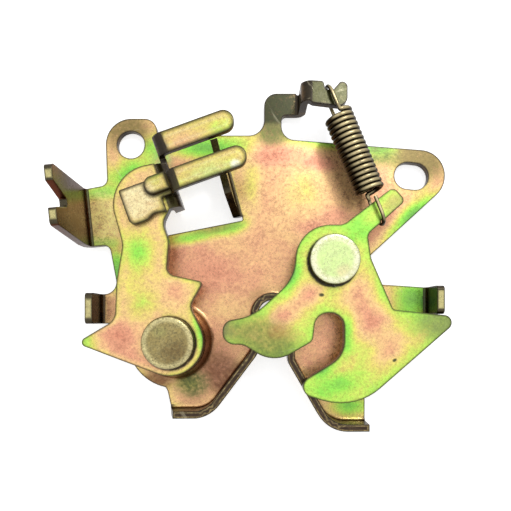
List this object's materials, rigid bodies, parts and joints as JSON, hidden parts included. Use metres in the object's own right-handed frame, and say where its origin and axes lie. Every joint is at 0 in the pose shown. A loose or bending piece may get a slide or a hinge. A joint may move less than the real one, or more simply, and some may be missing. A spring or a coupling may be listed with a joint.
{
  "type": "seat lock",
  "caption": "Rear seat lock on a pressed plate: a flared striker throat, a swinging hook, a pawl lever with a release fork, and a tension spring from a raised anchor",
  "frame": {"origin": "axis of the round fixing hole, at the plate's flat back face", "axes": "+X along the plate towards the slotted fixing hole, +Y from the throat's mouth towards the spring anchor, +Z from the plate's back face towards the mechanism"},
  "size_m": [0.1183, 0.1075, 0.0262],
  "materials": {
    "plate_zinc": "yellow passivated zinc, iridescent from salmon to green",
    "hook_zinc": "yellow passivated zinc, green at the rims",
    "pawl_zinc": "yellow passivated zinc",
    "fork_zinc": "pale yellow passivated zinc",
    "rivet_pale": "pale zinc",
    "rivet_olive": "olive passivated zinc",
    "spring_steel": "dark oiled spring wire"
  },
  "bodies": {
    "base": {"base_plate": "plate_zinc", "hook_pivot_rivet": "rivet_pale", "pawl_pivot_rivet": "rivet_olive", "hook_spacer": "rivet_olive", "hook_spring": "spring_steel", "pawl_spring": "spring_steel"},
    "hook": {"latch_hook": "hook_zinc"},
    "pawl": {"pawl_lever": "pawl_zinc", "release_fork": "fork_zinc"},
    "spring_end": {"hook_spring_end": "spring_steel"}
  },
  "joints": [
    {"name": "hook_turn", "type": "hinge", "parent": "base", "child": "hook", "pos_m": [0.0637, -0.0385, 0.0108], "axis": [0, 0, 1], "range_deg": [-44, 0], "stiffness_Nm_per_rad": 0.5, "springref_deg": 20.05},
    {"name": "pawl_turn", "type": "hinge", "parent": "base", "child": "pawl", "pos_m": [0.0142, -0.0633, 0.0108], "axis": [0, 0, 1], "range_deg": [-6, 12], "stiffness_Nm_per_rad": 0.5, "deforming": ["pawl_spring"]},
    {"name": "spring_stretch", "type": "slide", "parent": "base", "child": "spring_end", "axis": [0.3013, -0.9535, 0], "range_m": [0, 0.0146], "deforming": ["hook_spring", "hook_spring_end"]}
  ],
  "couplings": [
    {"joint": "spring_stretch", "follows": "hook_turn", "m_per_rad": -0.01884}
  ]
}
